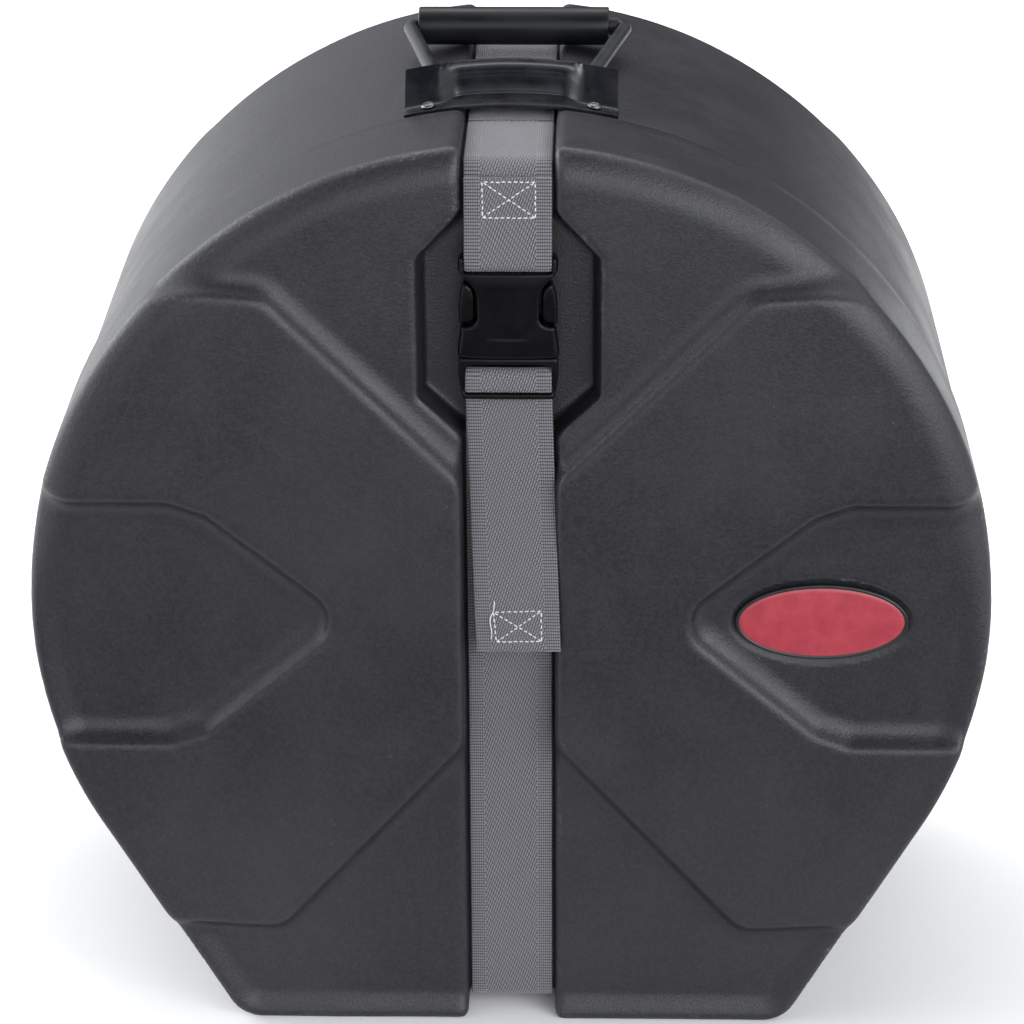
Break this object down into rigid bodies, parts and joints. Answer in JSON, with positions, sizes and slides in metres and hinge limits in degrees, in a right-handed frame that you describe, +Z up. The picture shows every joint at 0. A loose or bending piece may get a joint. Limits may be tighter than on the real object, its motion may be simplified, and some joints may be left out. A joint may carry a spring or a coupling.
{
  "type": "drum case",
  "caption": "Round-topped moulded case for a drum: two telescoping shells, webbing strap with side-release buckle, foam lining and folding carrying handle.",
  "frame": {"origin": "on the floor, under the centre of the case's box; the case stands upright on its flat base", "axes": "+X to the case's right as seen from the front, +Z up, and the front with the buckle faces -Y; Z is the tallest way and Y the shallowest"},
  "size_m": [0.457, 0.272, 0.4706],
  "materials": {
    "shell": "matte",
    "webbing": "matte",
    "buckle": "satin",
    "black_steel": "satin",
    "fastener": "satin",
    "sleeve": "satin",
    "grip": "satin",
    "name_plate": "gloss",
    "foam": "matte"
  },
  "bodies": {
    "root": {"rear_shell": "shell", "rear_pad": "foam", "base_wedge_left": "foam", "base_wedge_right": "foam", "arch_liner": "foam", "strap_rear_run": "webbing", "handle_hood": "black_steel", "pivot_saddle": "black_steel", "hood_screw_left": "fastener", "hood_washer_left": "fastener", "hood_nut_left": "fastener", "hood_screw_right": "fastener", "hood_washer_right": "fastener", "hood_nut_right": "fastener"},
    "lid": {"front_shell": "shell", "front_pad": "foam", "oval_plate": "name_plate", "strap_upper_run": "webbing", "strap_lower_run": "webbing", "buckle_socket": "buckle", "buckle_plug": "buckle"},
    "prong_left": {"buckle_prong_left": "buckle"},
    "prong_right": {"buckle_prong_right": "buckle"},
    "handle": {"handle_bail": "black_steel"},
    "grip": {"grip_sleeve": "sleeve", "handle_grip": "grip"}
  },
  "joints": [
    {"name": "lid_slide", "type": "slide", "parent": "root", "child": "lid", "axis": [0, -1, 0], "range_m": [0, 0.25]},
    {"name": "handle_hinge", "type": "hinge", "parent": "root", "child": "handle", "pos_m": [0, -0.032, 0.457], "axis": [1, 0, 0], "range_deg": [0, 95]},
    {"name": "grip_spin", "type": "hinge", "parent": "handle", "child": "grip", "pos_m": [0, 0.05, 0.45978], "axis": [1, 0, 0], "continuous": true},
    {"name": "prong_left_squeeze", "type": "hinge", "parent": "lid", "child": "prong_left", "pos_m": [-0.0172, -0.1245, 0.3545], "axis": [0, 1, 0], "range_deg": [0, 7], "stiffness_Nm_per_rad": 0.8},
    {"name": "prong_right_squeeze", "type": "hinge", "parent": "lid", "child": "prong_right", "pos_m": [0.0172, -0.1245, 0.3545], "axis": [0, 1, 0], "range_deg": [-7, 0], "stiffness_Nm_per_rad": 0.8}
  ],
  "couplings": [
    {"joint": "prong_right_squeeze", "follows": "prong_left_squeeze", "ratio": -1}
  ]
}
